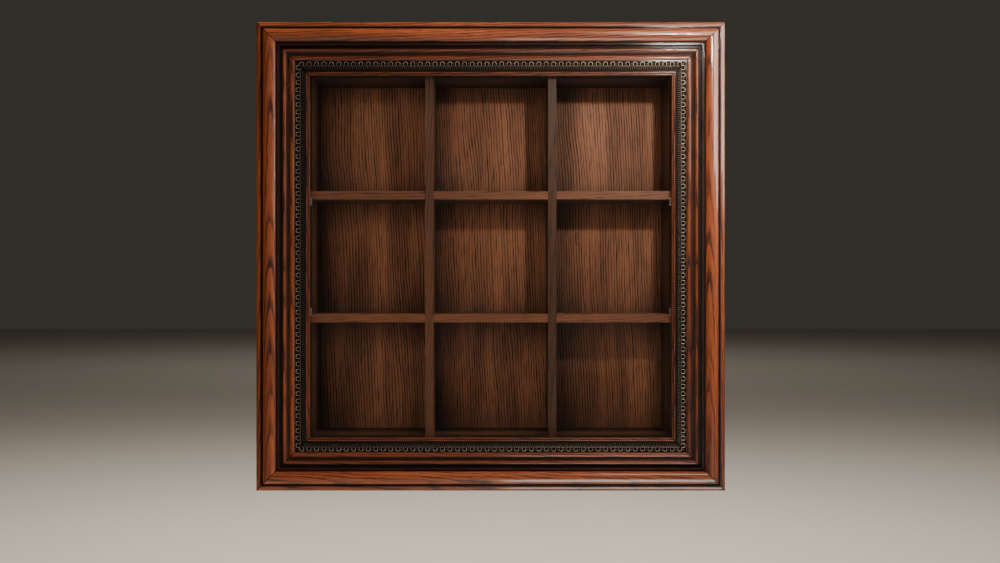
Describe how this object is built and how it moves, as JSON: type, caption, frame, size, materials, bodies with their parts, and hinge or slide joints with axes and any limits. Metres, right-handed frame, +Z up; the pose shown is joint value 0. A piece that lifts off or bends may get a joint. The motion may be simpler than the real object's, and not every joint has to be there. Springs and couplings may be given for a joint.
{
  "type": "wall display case",
  "caption": "Square wall-hung oak display case with a grid of compartments behind a hinged, glazed front frame of deep mitred moulding with a metal ornament strip.",
  "frame": {"origin": "on the wall plane, midway between the entry holes of the two keyhole hangers", "axes": "+X to the right seen from the front, +Y into the wall, +Z up; the front faces -Y"},
  "size_m": [0.61, 0.1435, 0.61],
  "materials": {
    "frame_oak": "semi-gloss dark mahogany stain over open-grain oak",
    "case_oak": "satin dark stained oak",
    "shelf_oak": "satin dark stained oak",
    "pewter": "aged pewter with dark patina in the recesses",
    "glass": "clear float glass",
    "steel": "zinc plated",
    "brass": "aged brass",
    "rubber": "matt"
  },
  "bodies": {
    "case": {"case_top": "case_oak", "case_bottom": "case_oak", "case_left": "case_oak", "case_right": "case_oak", "back_panel": "case_oak", "hanging_rail": "case_oak", "left_divider": "shelf_oak", "right_divider": "shelf_oak", "upper_shelf": "shelf_oak", "lower_shelf": "shelf_oak", "left_keyhole_plate": "steel", "right_keyhole_plate": "steel", "keyhole_plate_screws": "steel", "hanging_rail_screws": "brass", "back_panel_pins": "steel", "upper_hinge_case_leaf": "brass", "lower_hinge_case_leaf": "brass", "upper_hinge_pin": "steel", "lower_hinge_pin": "steel", "case_hinge_screws": "brass", "catch_magnets": "steel", "bumper_pads": "rubber"},
    "front_frame": {"frame_top_rail": "frame_oak", "frame_bottom_rail": "frame_oak", "frame_left_stile": "frame_oak", "frame_right_stile": "frame_oak", "mitre_splines": "frame_oak", "top_ornament": "pewter", "bottom_ornament": "pewter", "left_ornament": "pewter", "right_ornament": "pewter", "glass_pane": "glass", "upper_hinge_frame_leaf": "brass", "lower_hinge_frame_leaf": "brass", "frame_hinge_screws": "brass", "catch_strikes": "steel", "turn_button_screws": "steel"},
    "upper_left_turn_button": {"upper_left_turn_button": "steel"},
    "lower_left_turn_button": {"lower_left_turn_button": "steel"},
    "upper_right_turn_button": {"upper_right_turn_button": "steel"},
    "lower_right_turn_button": {"lower_right_turn_button": "steel"}
  },
  "joints": [
    {"name": "front_frame_hinge", "type": "hinge", "parent": "case", "child": "front_frame", "pos_m": [-0.2561, -0.1079, -0.208], "axis": [0, 0, -1], "range_deg": [0, 95]},
    {"name": "upper_left_turn_button_turn", "type": "hinge", "parent": "front_frame", "child": "upper_left_turn_button", "pos_m": [-0.2482, -0.11375, -0.1355], "axis": [0, 1, 0], "range_deg": [-90, 90]},
    {"name": "lower_left_turn_button_turn", "type": "hinge", "parent": "front_frame", "child": "lower_left_turn_button", "pos_m": [-0.2482, -0.11375, -0.2805], "axis": [0, 1, 0], "range_deg": [-90, 90]},
    {"name": "upper_right_turn_button_turn", "type": "hinge", "parent": "front_frame", "child": "upper_right_turn_button", "pos_m": [0.2482, -0.11375, -0.1355], "axis": [0, 1, 0], "range_deg": [-90, 90]},
    {"name": "lower_right_turn_button_turn", "type": "hinge", "parent": "front_frame", "child": "lower_right_turn_button", "pos_m": [0.2482, -0.11375, -0.2805], "axis": [0, 1, 0], "range_deg": [-90, 90]}
  ]
}
